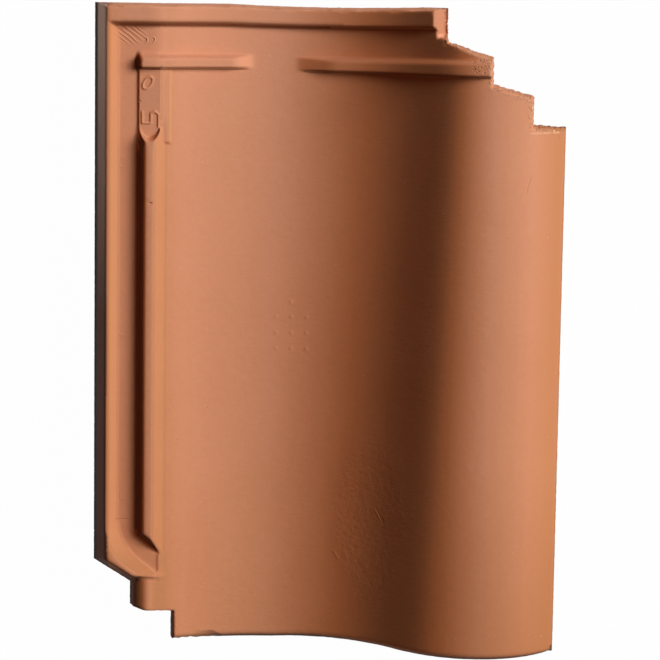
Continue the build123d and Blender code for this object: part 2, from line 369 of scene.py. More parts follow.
class Tree:
    """A node tree that is written as expressions."""

    def __init__(self, node_tree):
        self.node_tree = node_tree

    def add(self, kind, settings=None, inputs=None, output=0):
        """A new node: its settings first, then the values or links of its sockets."""
        node = self.node_tree.nodes.new(kind)
        for name, setting in (settings or {}).items():
            setattr(node, name, setting)
        for name, value in (inputs or {}).items():
            if isinstance(value, Value):
                self.node_tree.links.new(value.socket, node.inputs[name])
            else:
                node.inputs[name].default_value = value
        return Value(self, node.outputs[output]) if node.outputs else node

    def maths(self, operation, *values):
        return self.add("ShaderNodeMath", {"operation": operation}, dict(enumerate(values)))

    def least(self, *values):
        return self.chain("MINIMUM", values)

    def most(self, *values):
        return self.chain("MAXIMUM", values)

    def chain(self, operation, values):
        result = values[0]
        for value in values[1:]:
            result = self.maths(operation, result, value)
        return result

    def soft_least(self, a, b, blend):
        return self.maths("SMOOTH_MIN", a, b, blend)

    def soft_most(self, a, b, blend):
        return self.maths("SMOOTH_MAX", a, b, blend)

    def root(self, value):
        return self.maths("SQRT", value)

    def clip(self, value):
        """The value, kept between 0 and 1."""
        return self.add("ShaderNodeClamp", {}, {"Value": value})

    def near(self, a, b, reach):
        """1 where a and b are equal, falling to 0 where they are reach apart."""
        return self.clip(1 - abs(a - b) / reach)

    def pick(self, condition, chosen, other):
        """The chosen value where the condition is 1, and the other where it is 0."""
        return other + condition * (chosen - other)

    def store(self, geometry, name, value):
        """The geometry with one more value kept at each of its points."""
        settings = {"data_type": "FLOAT", "domain": "POINT"}
        sockets = {"Geometry": geometry, "Name": name, "Value": value}
        return self.add("GeometryNodeStoreNamedAttribute", settings, sockets)

    def noise(self, place, scale, detail=2.0, roughness=0.5, output=0):
        sockets = {"Vector": place, "Scale": scale, "Detail": detail, "Roughness": roughness}
        return self.add("ShaderNodeTexNoise", {}, sockets, output)


def slope_of(degrees):
    """The rise per millimetre of a wall that leans this far from upright."""
    return 1 / math.tan(math.radians(degrees))


def beside(x, y, start, end):
    """The distance to the left of the line from start to end."""
    run_x = end[0] - start[0]
    run_y = end[1] - start[1]
    size = math.hypot(run_x, run_y)
    return (y - start[1]) * (run_x / size) - (x - start[0]) * (run_y / size)


def resample(points, spacing):
    """The polyline through the points, cut into equal steps of about the spacing."""
    result = []
    for start, end in zip(points, points[1:]):
        count = max(1, round(math.dist(start, end) / spacing))
        for step in range(count):
            share = step / count
            result.append((start[0] + share * (end[0] - start[0]), start[1] + share * (end[1] - start[1])))
    result.append(points[-1])
    return result


# The outline of the blank, anticlockwise from the lower end of the left edge
outline = [
    corner_start,
    corner_end,
    *notch_corner,
    (notch_x, notch_y),
    (notch_x, foot_y),
    (right_x, foot_y),
]
for high, low in reversed(list(zip(step_high, step_low))):
    outline += [low, high]
outline += [(step_high[0][0], head_y), (left_x, head_y)]
outline_spacing = 1.2
step_spacing = 0.6
first_step = outline.index(step_low[-1])
outline_points = resample(outline[:first_step + 1], outline_spacing)[:-1]
outline_points += resample(outline[first_step:-1], step_spacing)[:-1]
outline_points += resample(outline[-2:] + outline[:1], outline_spacing)[:-1]


def within(x, y):
    """True for a point inside the outline."""
    crossings = 0
    for (start_x, start_y), (end_x, end_y) in zip(outline, outline[1:] + outline[:1]):
        if (start_y > y) != (end_y > y):
            crossings += x < start_x + (y - start_y) * (end_x - start_x) / (end_y - start_y)
    return crossings % 2 == 1


class Blank:
    """The flat points of one face of the tile, none of them too near another."""

    cell_size = 4

    def __init__(self, gap):
        self.gap = gap
        self.points = list(outline_points)
        self.cells = {}
        for point in self.points:
            self.cells.setdefault(self.cell(point), []).append(point)

    def cell(self, point):
        return (int(point[0] // self.cell_size), int(point[1] // self.cell_size))

    def clear(self, point, gap):
        cell_x, cell_y = self.cell(point)
        for step_x in (-1, 0, 1):
            for step_y in (-1, 0, 1):
                for other in self.cells.get((cell_x + step_x, cell_y + step_y), ()):
                    if (other[0] - point[0]) ** 2 + (other[1] - point[1]) ** 2 < gap * gap:
                        return False
        return True

    def add(self, points, gap=None):
        for point in points:
            if within(*point) and self.clear(point, gap or self.gap):
                self.points.append(point)
                self.cells.setdefault(self.cell(point), []).append(point)

    def ring(self, inset, gap):
        """A line of points inside the outline."""
        count = len(outline_points)
        for index, (x, y) in enumerate(outline_points):
            before = outline_points[index - 1]
            after = outline_points[(index + 1) % count]
            run_x = after[0] - before[0]
            run_y = after[1] - before[1]
            size = math.hypot(run_x, run_y)
            point = (x - inset * run_y / size, y + inset * run_x / size)
            self.add([point], gap)

    def fill(self, spacing, low, high, gap):
        """Rows of points over a rectangle, each row half a step beside the last."""
        row_height = spacing * math.sqrt(3) / 2
        for row in range(int((high[1] - low[1]) / row_height) + 1):
            shift = spacing / 2 * (row % 2)
            for column in range(int((high[0] - low[0]) / spacing) + 1):
                point = (low[0] + shift + column * spacing, low[1] + row * row_height)
                self.add([point], gap)

    def triangles(self):
        """The points again, in the order of the mesh, and the triangles between them."""
        count = len(outline_points)
        loop = [(index, (index + 1) % count) for index in range(count)]
        made = delaunay_2d_cdt([Vector(point) for point in self.points], loop, [], 0, 0.0001, False)
        faces = []
        for face in made[2]:
            center = sum((made[0][index] for index in face), Vector((0, 0))) / len(face)
            if within(*center):
                faces.append(list(face))
        return [(vertex.x, vertex.y) for vertex in made[0]], faces


def upright(x, low_y, high_y):
    return ((x, low_y), (x, high_y))


def level(y, low_x, high_x):
    return ((low_x, y), (high_x, y))


# The run of each drafted wall of the side lock, seen from above
lip_run = (SIZES["lip_rise"] + lock_base_drop) / slope_of(lip_outer_draft)
lip_inner_run = (SIZES["lip_rise"] - SIZES["groove_rise"]) / slope_of(lip_inner_draft)
rib_run = (SIZES["rib_top_rise"] - SIZES["groove_rise"]) / slope_of(rib_draft)


def shift_line(points, distance):
    """A polyline moved to its left, each corner kept."""
    moved = []
    for index, (x, y) in enumerate(points):
        before = points[max(index - 1, 0)]
        after = points[min(index + 1, len(points) - 1)]
        normals = []
        for start, end in ((before, (x, y)), ((x, y), after)):
            size = math.dist(start, end)
            if size:
                normals.append(((start[1] - end[1]) / size, (end[0] - start[0]) / size))
        normal_x = sum(n[0] for n in normals) / len(normals)
        normal_y = sum(n[1] for n in normals) / len(normals)
        stretch = distance / (normal_x**2 + normal_y**2)
        moved.append((x + normal_x * stretch, y + normal_y * stretch))
    return moved


# The blank has rows of points along and beside these lines, so that each pressed edge comes out crisp
groove_line = [(groove_x, head_y), *turn_points, (lock_x + 12.0, turn_points[-1][1])]
groove_rows = (1.1, 0, -1.1, -2.3, -3.6, -4.8, -lip_inner_run)
lip_line = [(left_x, head_y), corner_start, corner_end, (lock_x, corner_end[1])]
lip_rows = (lip_run, lip_run - 1.0, lip_run - 2.2, 3.2, 2.0)
inner_rib_rows = (0.0, 1.0, 2.0, 3.0, rib_run, rib_run + 1.0)
rim_row_ys = (rim_y, rim_y + 0.8, rim_y + 1.6, rim_y + rim_step_run, head_y - head_draft_run)
cross_rib_foot_row = cross_rib_width - cross_rib_draft_run
cross_rib_rows = (0.0, 1.1, cross_rib_bevel, cross_rib_width / 2 + 1, cross_rib_foot_row, cross_rib_width)

top_lines = [shift_line(groove_line, shift) for shift in groove_rows]
top_lines += [shift_line(lip_line, shift) for shift in lip_rows]
for shift in inner_rib_rows:
    inner_rib_line = [(rib_x, rib_head_y - shift), *rib_slant, (rib_end_x, rib_head_y - shift)]
    top_lines.append(shift_line(inner_rib_line, shift))
top_lines.append(level(rib_head_y, rib_x, rib_end_x))
top_lines.append(level(rib_head_y - rib_run, rib_x + rib_run, rib_end_x - rib_run))
for y in rim_row_ys:
    top_lines.append(level(y, groove_x, step_high[0][0]))
for drop in cross_rib_rows:
    y = cross_rib_y - drop
    top_lines.append(level(y, left_rib_x, left_rib_end_x))
    top_lines.append(level(y, right_rib_x, step_low[0][0]))
top_lines.append(upright(lock_x, foot_y + 50.0, rim_y))
for edge_shift in (-0.25, 0.25):
    top_lines.append(upright(rib_x + edge_shift, rib_head_y, pad_head_y))
    top_lines.append(level(pad_head_y + edge_shift, rib_x, lock_x))

under_lines = [upright(lock_x + shift, foot_y + 15.0, head_y) for shift in (0, 1.5, -1.5)]
for edge_shift in (-0.2, 0.2):
    for side in (-1, 1):
        under_lines.append(upright(bead_x + side * (bead_half_width + edge_shift), bead_foot_y, bead_head_y))
    under_lines.append(level(bead_foot_y - edge_shift, bead_x - bead_half_width, bead_x + bead_half_width))
    under_lines.append(level(bead_head_y + edge_shift, bead_x - bead_half_width, bead_x + bead_half_width))


def rectangle(center_x, center_y, half_x, half_y):
    corners = [(-1, -1), (1, -1), (1, 1), (-1, 1), (-1, -1)]
    return [(center_x + x * half_x, center_y + y * half_y) for x, y in corners]


for inset in (-1.2, 0.0, 0.9, 1.8, 2.6, 3.3, 4.4):
    for nib_x in nib_xs:
        under_lines.append(rectangle(nib_x, nib_y, nib_half_width - inset, nib_half_length - inset))
foot_rib_x = sum(foot_rib_xs) / 2
foot_rib_half = (foot_rib_xs[1] - foot_rib_xs[0]) / 2
for inset in (-1.2, 0.0, 0.9, 1.8, 2.5, 3.4):
    under_lines.append(rectangle(foot_rib_x, foot_rib_y, foot_rib_half - inset, foot_rib_half_width - inset))

# Spacings of the points, and the least gaps between them, as they are or as shares of the spacing
top_point_gap = 0.5
under_point_gap = 0.35
finest = 0.5
finest_gap_share = 0.8
fine = 1.15
coarse = 2.4
gap_share = 0.72
pip_field = 1.8
fine_zones = (
    ((left_x, foot_y), (lock_x + 16.0, head_y)),
    ((lock_x, head_y - 70.0), (right_x, head_y)),
    ((lock_x, foot_y), (right_x, foot_y + 7.0)),
    ((right_x - 6.0, foot_y), (right_x, head_y)),
)
top_rings = ((0.5, 0.42), (1.1, 0.42), (1.8, 0.42), (2.7, 0.7), (3.7, 0.7))
under_rings = ((0.5, 0.4), (1.4, 0.7))
under_line_spacing = 1.6
under_spacing = 3.0
under_gap = 2.0


def top_blank():
    blank = Blank(top_point_gap)
    pad_zone = ((rib_x - 0.6, pad_foot_y - 1.0), (lock_x + 2.0, pad_head_y - 1.0))
    blank.fill(finest, *pad_zone, finest * finest_gap_share)
    for pip_x, pip_y in pip_places:
        low = (pip_x - pip_field, pip_y - pip_field)
        blank.fill(finest, low, (pip_x + pip_field, pip_y + pip_field), finest * finest_gap_share)
    for line in top_lines:
        blank.add(resample(list(line), fine))
    for inset, gap in top_rings:
        blank.ring(inset, gap)
    for low, high in fine_zones:
        blank.fill(fine, low, high, fine * gap_share)
    blank.fill(coarse, (left_x, foot_y), (right_x, head_y), coarse * gap_share)
    return blank.triangles()


def under_blank():
    blank = Blank(under_point_gap)
    for line in under_lines:
        blank.add(resample(list(line), under_line_spacing))
    for inset, gap in under_rings:
        blank.ring(inset, gap)
    blank.fill(under_spacing, (left_x, foot_y), (right_x, head_y), under_gap)
    return blank.triangles()


def make_blank():
    """The flat blank: an upper face, a lower face and a wall of several rows between their edges."""
    top_points, top_faces = top_blank()
    under_points, under_faces = under_blank()
    count = len(outline_points)
    rows = 6
    vertices = [(x, y, 0.0) for x, y in top_points]
    layers = [1.0] * len(top_points)
    offset = len(vertices)
    vertices += [(x, y, 0.0) for x, y in under_points]
    layers += [0.0] * len(under_points)
    faces = list(top_faces)
    faces += [[index + offset for index in reversed(face)] for face in under_faces]
    wall = [list(range(count))]
    for row in range(1, rows):
        start = len(vertices)
        vertices += [(x, y, 0.0) for x, y in outline_points]
        layers += [1 - row / rows] * count
        wall.append(list(range(start, start + count)))
    wall.append([index + offset for index in range(count)])
    for upper, lower in zip(wall, wall[1:]):
        for index in range(count):
            after = (index + 1) % count
            faces.append([upper[index], lower[index], lower[after], upper[after]])
    mesh = bpy.data.meshes.new("tile_blank")
    mesh.from_pydata(vertices, [], faces)
    layer = mesh.attributes.new("layer", "FLOAT", "POINT")
    layer.data.foreach_set("value", layers)
    mesh.update()
    return bpy.data.objects.new("roof_tile_fired", mesh)


def wave(tree, size, x, y, lift):
    """The height of the wave across the tile, moved along its own normal by lift."""
    share = (y - foot_y) / length

    def blend(name):
        at_foot = size[name + "_foot"]
        return at_foot + share * (size[name + "_head"] - at_foot)

    valley_x = left_x + blend("valley_from_left")
    crown_x = right_x - blend("crown_from_right")
    rise = blend("roll_rise")
    shoulder_radius = blend("shoulder_radius")
    run = crown_x - valley_x
    flank = tree.maths("ARCTAN2", rise, run) * 2 - size["flank_relief"] * (math.pi / 180)
    flank_sine = tree.maths("SINE", flank)
    flank_cosine = tree.maths("COSINE", flank)
    pan_radius = (run * flank_sine - rise * flank_cosine) / (1 - flank_cosine) - shoulder_radius
    edge_run = valley_x - lock_x
    edge_radius = (edge_run**2 + size["groove_rise"] ** 2) / (size["groove_rise"] * 2)
    crown_z = size["pan_z"] + rise

    def arc(center_x, center_z, radius, side):
        return center_z + tree.root(tree.most(radius**2 - (x - center_x) ** 2, 0.0)) * side

    edge = arc(valley_x, size["pan_z"] + edge_radius, edge_radius - lift, -1)
    pan = arc(valley_x, size["pan_z"] + pan_radius, pan_radius - lift, -1)
    shoulder = arc(crown_x, crown_z - shoulder_radius, shoulder_radius + lift, 1)
    roll = arc(crown_x, crown_z - size["outer_roll_radius"], size["outer_roll_radius"] + lift, 1)
    pan_end = valley_x + (pan_radius - lift) * flank_sine
    roll_start = crown_x - (shoulder_radius + lift) * flank_sine
    flank_z = size["pan_z"] + pan_radius - (pan_radius - lift) * flank_cosine
    flank_z = flank_z + (x - pan_end) * (flank_sine / flank_cosine)
    height = tree.pick(x > valley_x, pan, edge)
    height = tree.pick(x > pan_end, flank_z, height)
    height = tree.pick(x > roll_start, shoulder, height)
    return tree.pick(x > crown_x, roll, height)


def inside(tree, x, y, low, high):
    """The distance in from the nearest side of a rectangle, negative outside it."""
    return tree.least(x - low[0], high[0] - x, y - low[1], high[1] - y)


def head_ridges(tree, size, x, y):
    """How far the head rim and the cross ribs stand off the wave, along its normal."""
    rim_slope = (size["rim_height"] + ridge_root) / rim_step_run
    rim = tree.soft_least((y - rim_y) * rim_slope - ridge_root, size["rim_height"], rim_blend)
    height = size["cross_rib_height"]
    on_left = x < left_rib_end_x + 2.0
    low_y = cross_rib_y - cross_rib_width + on_left * left_rib_narrowing
    high_y = cross_rib_y + tree.most(x, 0.0) * right_rib_taper + on_left * left_rib_shift
    low_side = (y - low_y) * ((height + ridge_root) / cross_rib_draft_run)
    high_side = (high_y - y) * ((height + ridge_root) / cross_rib_bevel)
    profile = tree.soft_least(low_side, high_side, cross_rib_blend)
    profile = tree.soft_least(profile - ridge_root, height, cross_rib_blend)
    end_rise = height + rib_end_overshoot

    def fade(distance, run):
        share = tree.clip(distance / run)
        return share * share * (3 - share * 2) * end_rise - rib_end_root

    left = tree.least(fade(x - left_rib_x, left_rib_start_run), fade(left_rib_end_x - x, left_rib_end_run))
    right = (x - right_rib_x) * (end_rise / right_rib_start_run) - rib_end_root
    rib = tree.soft_least(profile, tree.most(left, right), cross_rib_end_blend)
    return rim, rib


def side_lock(tree, size, x, y, rim, rib):
    """The outer lip, the groove, the rib and the pad."""
    side = tree.least(x - left_x, y - corner_end[1]) * slope_of(lip_outer_draft)
    slant = beside(x, y, corner_start, corner_end) * slope_of(lip_outer_draft)
    wall = tree.soft_least(side, slant, lip_blend) + lock_base_z
    outer = tree.soft_least(wall, size["pan_z"] + size["lip_rise"], lip_blend)
    head_wall = (head_y - y) * ((size["lip_rise"] + lock_base_drop) / head_draft_run) + lock_base_z
    outer = tree.soft_least(outer, head_wall, lip_blend)
    first_turn = -beside(x, y, turn_points[0], turn_points[1])
    second_turn = -beside(x, y, turn_points[1], turn_points[2])
    pocket = tree.soft_most(groove_x - x, first_turn, groove_wall_blend)
    pocket = tree.soft_most(pocket, second_turn, groove_turn_blend)
    pocket = tree.soft_most(pocket, turn_points[2][1] - y, groove_wall_blend)
    floor_z = size["pan_z"] + size["groove_rise"]
    groove = tree.soft_most(pocket * slope_of(lip_inner_draft) + floor_z, floor_z, groove_floor_blend)
    ridges = tree.soft_most(rim, rib, ridge_meeting_blend)
    ridges = ridges * (ridge_on_lock + (lock_x - x) * ridge_on_lock_growth)
    floor = tree.soft_most(groove, floor_z + ridges, ridge_in_groove_blend)
    lock = tree.soft_least(outer, floor, lip_crest_blend)
    return tree.pick(y > turn_points[0][1], tree.least(lock, head_wall), lock), wall


def inner_rib(tree, size, x, y):
    """The rib between the groove and the pan, hollowed at its head and cut on a slant at its foot."""
    off_hollow = tree.root((x - rib_hollow[0]) ** 2 + (y - rib_hollow[1]) ** 2)
    hollow = (off_hollow - rib_hollow_radius) * hollow_steepness
    slant = beside(x, y, rib_slant[0], rib_slant[1])
    reach = tree.least(x - rib_x, rib_end_x - x, rib_top_y - y, slant, hollow)
    side = reach * slope_of(rib_draft) + (size["pan_z"] + size["groove_rise"])
    return tree.soft_least(side, size["pan_z"] + size["rib_top_rise"], inner_rib_crest_blend)


def margin(tree, size, x, y, pan):
    """The margin beside the notch: the pan runs on over it and is rounded off at its left."""
    radius = size["margin_radius"]
    top = size["pan_z"] + size["margin_rise"]
    run = tree.most(radius - (x - corner_end[0]) + size["margin_draft_run"], 0.0)
    rounded = top - radius + tree.root(tree.most(radius**2 - run**2, 0.0))
    edge = (x - corner_end[0]) * margin_edge_rise + lock_base_z
    rounded = tree.soft_least(rounded, edge, margin_foot_blend)
    cap = tree.soft_least(rounded, pan, margin_pan_blend)
    head = (margin_head_y - y) * margin_head_rise + (top - margin_head_drop)
    return tree.soft_least(cap, head, margin_head_blend)


def stroke(tree, x, y, start, end):
    """The distance to the line from start to end."""
    run_x = end[0] - start[0]
    run_y = end[1] - start[1]
    share = tree.clip(((x - start[0]) * run_x + (y - start[1]) * run_y) / (run_x**2 + run_y**2))
    across_x = x - start[0] - share * run_x
    across_y = y - start[1] - share * run_y
    return tree.root(across_x**2 + across_y**2)


def raised(tree, distance, half_width, height):
    """A rounded mark that stands height off the face."""
    share = tree.clip(1.3 - distance / half_width)
    return tree.root(share) * height


def marks(tree, x, y):
    """The ring and the digit on the pad, and the pips on the pan."""
    turn = math.radians(ring_turn)
    off_x = x - ring_center[0]
    off_y = y - ring_center[1]
    along = off_x * math.cos(turn) - off_y * math.sin(turn)
    across = off_x * math.sin(turn) + off_y * math.cos(turn)
    circle = tree.root((along / ring_radii[0]) ** 2 + (across / ring_radii[1]) ** 2)
    nearest = abs(circle - 1.0) * (sum(ring_radii) / 2)
    for start, end in zip(digit_line, digit_line[1:]):
        nearest = tree.least(nearest, stroke(tree, x, y, start, end))
    relief = raised(tree, nearest, mark_half_width, mark_height)
    for pip_x, pip_y in pip_places:
        distance = tree.root((x - pip_x) ** 2 + (y - pip_y) ** 2)
        relief = relief + tree.clip(1.2 - distance / pip_radius) ** 0.7 * pip_height
    return relief


def bow(tree, x, distance, shape):
    """How far an end draws in: most at the middle of the bow, and none far from the edge."""
    middle, half, depth = shape
    return tree.clip(1 - ((x - middle) / half) ** 2) * tree.clip(1 - distance / bow_reach) * depth


def cuts(tree, size, x, y):
    """The drafted cuts that bound the upper face, and the reach in from the stepped corner."""
    reach = None
    for high, low in zip(step_high, step_low):
        wedge = tree.most(high[0] - x, -beside(x, y, high, low))
        reach = wedge if reach is None else tree.least(reach, wedge)
    steps = reach * slope_of(step_draft) + step_level_z
    rim_end = (step_high[0][0] - x) * slope_of(end_cut_draft) + end_cut_z
    rim_end = tree.most(rim_end, (end_cut_foot_y - y) * end_cut_foot_rise + end_cut_z)
    notch = tree.least(y - notch_y, beside(x, y, notch_corner[0], notch_corner[1]),
                       beside(x, y, notch_corner[1], notch_corner[2]))
    notch = tree.most(notch, x - notch_x)
    flap = (right_x - x) * flap_edge_rise + (size["pan_z"] + size["flap_rise"])
    return steps, rim_end, notch * slope_of(notch_draft) + lock_base_z, flap, reach, notch


def under_face(tree, size, x, y):
    """The lower face with its nibs, foot rib and bead."""
    body = wave(tree, size, x, y, -size["body_thickness"])
    body = tree.pick(x > lock_x, body, lock_base_z)
    flap_z = size["pan_z"] + size["flap_rise"]
    body = tree.pick(x > bead_x, tree.most(body, flap_z), body)
    bead_low = (bead_x - bead_half_width, bead_foot_y)
    bead_high = (bead_x + bead_half_width, bead_head_y)
    bead_z = size["pan_z"] + size["groove_rise"] + bead_clearance
    body = tree.pick(inside(tree, x, y, bead_low, bead_high) > 0.0, tree.least(body, bead_z), body)
    feet = [(nib_x, nib_y, nib_half_width, nib_half_length) for nib_x in nib_xs]
    feet.append((foot_rib_x, foot_rib_y, foot_rib_half, foot_rib_half_width))
    for foot_x, foot_middle_y, half_x, half_y in feet:
        low = (foot_x - half_x, foot_middle_y - half_y)
        high = (foot_x + half_x, foot_middle_y + half_y)
        reach = inside(tree, x, y, low, high)
        foot = tree.soft_most(body - reach * slope_of(nib_draft), 0.0, nib_foot_blend)
        body = tree.pick(reach > 0.0, tree.most(foot - standing_sink, 0.0), body)
    return body


def press_tree(clay):
    """The node tree that presses the blank into the tile."""
    group = bpy.data.node_groups.new("press_tile", "GeometryNodeTree")
    group.interface.new_socket("Geometry", in_out="INPUT", socket_type="NodeSocketGeometry")
    for name, value in SIZES.items():
        socket = group.interface.new_socket(name, in_out="INPUT", socket_type="NodeSocketFloat")
        socket.default_value = value
    group.interface.new_socket("Geometry", in_out="OUTPUT", socket_type="NodeSocketGeometry")
    tree = Tree(group)
    size = {name: tree.add("NodeGroupInput", output=name) for name in SIZES}
    place = tree.add("GeometryNodeInputPosition")
    x = tree.add("ShaderNodeSeparateXYZ", {}, {0: place}, "X")
    y = tree.add("ShaderNodeSeparateXYZ", {}, {0: place}, "Y")
    layer = tree.add("GeometryNodeInputNamedAttribute", {"data_type": "FLOAT"}, {"Name": "layer"})

    # The upper face
    rim, rib = head_ridges(tree, size, x, y)
    ridges = tree.soft_most(tree.soft_most(rim, rib, ridge_meeting_blend), 0.0, ridge_foot_blend)
    head_end = (head_y - y) * ((size["rim_height"] + size["body_thickness"] - end_lip) / head_draft_run)
    foot_end = (y - foot_y) * (foot_draft_depth / foot_draft_run) - foot_draft_depth
    lift = tree.soft_least(ridges, head_end - (size["body_thickness"] - end_lip), end_blend)
    lift = tree.soft_least(lift, foot_end, end_blend)
    beside_pan = wave(tree, size, x - wave_ease, y, lift) + wave(tree, size, x + wave_ease, y, lift)
    pan = wave(tree, size, x, y, lift) * 0.5 + beside_pan * 0.25
    past_lock = x > lock_reach_x
    lock, outer_wall = side_lock(tree, size, tree.least(x, lock_x), y, rim, rib)
    top = tree.pick(past_lock, pan, tree.soft_least(lock, pan, lock_blend))
    run_out = lock - tree.most(x - lock_x, 0.0) * lip_run_out_rise
    bank = tree.pick(x > lock_x, pan, margin(tree, size, x, y, pan))
    turned = tree.pick(past_lock, pan, tree.soft_most(run_out, bank, lip_run_out_blend))
    top = tree.pick(y < rib_slant[1][1], turned, top)
    top = tree.soft_most(top, inner_rib(tree, size, x, y), inner_rib_foot_blend)
    pad = inside(tree, x, y, (rib_x, pad_foot_y), (lock_x + pad_run_out, pad_head_y)) * pad_edge_rise
    pad_end = tree.pick(x > pad_end_x, tree.clip((y - pad_end_start_y) / pad_end_run), 1.0)
    run_out_share = tree.clip((lock_x + pad_run_out - x) / pad_run_out)
    pad = tree.least(pad, run_out_share ** 2 * pad_end * size["pad_rise"])
    top = tree.most(top, pad + groove_z)
    top = top + marks(tree, x, y)
    steps, rim_end, notch, flap, reach, notch_reach = cuts(tree, size, x, y)
    for cut, blend in (
        (steps, steps_blend),
        (rim_end, end_cut_blend),
        (notch, notch_blend),
        (flap, flap_blend),
    ):
        top = tree.soft_least(top, cut, blend)
    under = under_face(tree, size, x, y)
    top = tree.most(top, under + size["arris"])
    height = under + (top - under) * layer

    # The worn outline: the ends bow in a little, and the edges wander, most along the stepped cut
    reach_in = tree.least(x - left_x, right_x - x, head_y - y, y - foot_y, notch_reach, reach,
                          beside(x, y, corner_start, corner_end))
    near_edge = tree.clip(1 - reach_in / edge_reach)
    near_cut = tree.clip(1 - reach / edge_reach)
    near_foot = tree.clip(1 - (y - foot_y) / edge_reach)
    crumbs = near_foot * tree.clip(1.4 - abs(x - crumb_center_x) / crumb_half_width)
    wear = near_edge * (near_cut * cut_wear + edge_wear)
    wander = tree.noise(place, wander_scale, **wear_noise)
    other_place = tree.add("ShaderNodeVectorMath", {"operation": "ADD"}, {0: place, 1: drift_place_shift})
    drift = tree.noise(other_place, drift_scale, **wear_noise)
    bowed = bow(tree, x, y - foot_y, foot_bow) - bow(tree, x, head_y - y, head_bow)
    moved_x = x + (wander - 0.5) * wear * wear_shift
    moved_y = y + (drift - 0.5) * wear * wear_shift + bowed
    moved_y = moved_y + crumbs * (drift - crumb_bias) * crumb_shift
    moved_x = tree.least(tree.most(moved_x, left_x), right_x)
    moved_y = tree.least(tree.most(moved_y, foot_y), head_y)
    crumble = tree.noise(place, crumble_scale, 3.0, 0.6)
    chipped = height - near_cut * layer * tree.clip(crumble * 4.0 - 1.8) * chip_depth
    moved = tree.add("ShaderNodeCombineXYZ", {}, {"X": moved_x * MM, "Y": moved_y * MM, "Z": chipped * MM})

    # The material reads these: where the lip's outer wall is, the reach in from the stepped cut and from
    # the outline, and how far the surface leans to the right and up the slope, by which it paints shade
    lip_wall = tree.near(outer_wall, top, lip_wall_reach) * (x < groove_x - lip_inner_run)
    lip_wall = lip_wall + (1 - layer) * (x < left_x + 0.5)
    geometry = tree.add("NodeGroupInput", output="Geometry")
    geometry = tree.store(geometry, "lip_wall", lip_wall)
    geometry = tree.store(geometry, "step_reach", reach)
    geometry = tree.store(geometry, "edge_reach", reach_in)
    geometry = tree.add("GeometryNodeSetPosition", {}, {"Geometry": geometry, "Position": moved})
    for name, axis in (("lean", "X"), ("dip", "Y")):
        tilt = tree.add("ShaderNodeSeparateXYZ", {}, {0: tree.add("GeometryNodeInputNormal")}, axis)
        geometry = tree.store(geometry, name, tilt)
    geometry = tree.add("GeometryNodeSetShadeSmooth", {}, {"Geometry": geometry, "Shade Smooth": True})
    geometry = tree.add("GeometryNodeRealizeInstances", {}, {"Geometry": geometry})
    geometry = tree.add("GeometryNodeSetMaterial", {}, {"Geometry": geometry, "Material": clay})
    tree.add("NodeGroupOutput", {}, {"Geometry": geometry})
    return group


def press(blank, clay):
    """Press the blank and keep the result as a plain mesh."""
    group = press_tree(clay)
    bpy.context.scene.collection.objects.link(blank)
    modifier = blank.modifiers.new("press", "NODES")
    modifier.node_group = group
    for socket in group.interface.items_tree:
        if socket.in_out == "INPUT" and socket.name in SIZES:
            modifier[socket.identifier] = SIZES[socket.name]
    bpy.context.view_layer.update()
    evaluated = blank.evaluated_get(bpy.context.evaluated_depsgraph_get())
    pressed = bpy.data.meshes.new_from_object(evaluated)
    blank.modifiers.clear()
    blank.data = pressed
    return blank


def new_material(name):
    """An empty material and its node tree."""
    material = bpy.data.materials.new(name)
    material.use_nodes = True
    material.node_tree.nodes.clear()
    return material, Tree(material.node_tree)


def attribute(tree, name):
    return tree.add("ShaderNodeAttribute", {"attribute_name": name}, {}, "Fac")


def blend_colors(tree, share, first, second, mode="MIX"):
    settings = {"data_type": "RGBA", "blend_type": mode, "clamp_factor": True}
    return tree.add("ShaderNodeMix", settings, {0: share, 6: first, 7: second}, 2)


def tint(tree, share, color, over):
    """The color with a tint multiplied over it, as far as the share says."""
    return blend_colors(tree, share, color, over, "MULTIPLY")


def patch(tree, x, y, center_x, center_y, half_x, half_y):
    """1 at the middle of an oval patch, falling to 0 at its rim."""
    far = tree.root(((x - center_x) / half_x) ** 2 + ((y - center_y) / half_y) ** 2)
    return tree.clip((1 - far) * 2.5)


def handling(tree, place, x, y):
    """The marks of handling before the firing, as a height: scratches, rings, scuffs, nicks and pits."""
    # Slanting scratches in the groove under the head rim
    turn = math.radians(scratch_turn)
    across = x * math.sin(turn) + y * math.cos(turn)
    waver = tree.noise(place, 95.0, 2.0, 0.6)
    lines = tree.clip(tree.maths("COSINE", across * (2 * math.pi / scratch_gap) + waver * 7.0) * 1.3)
    height = lines * patch(tree, x, y, *scratched_patch) * scratch_height
    # Half rings beside them, and faint rings down the groove
    for center_x, center_y, radius, depth in ring_marks:
        off = tree.root((x - center_x) ** 2 + (y - center_y) ** 2) - radius
        ring = tree.near(off, 0.0, ring_line_half)
        height = height + (ring * (x > center_x) if radius < half_ring_limit else ring) * depth
    # Single lines and nicks
    for start, end, half_width, depth in line_marks:
        height = height + tree.clip(1 - stroke(tree, x, y, start, end) / half_width) * depth
    # Wrinkles on the flank of the roll, and pits at the end of the right rib
    folds = tree.noise(place, 330.0, 3.0, 0.7)
    height = height + folds * patch(tree, x, y, *wrinkled_patch) ** 2 * wrinkle_height
    dents = tree.add("ShaderNodeTexVoronoi", {}, {"Vector": place, "Scale": 750.0}, "Distance")
    return height - tree.clip(0.45 - dents) * patch(tree, x, y, *pitted_patch) * pit_depth


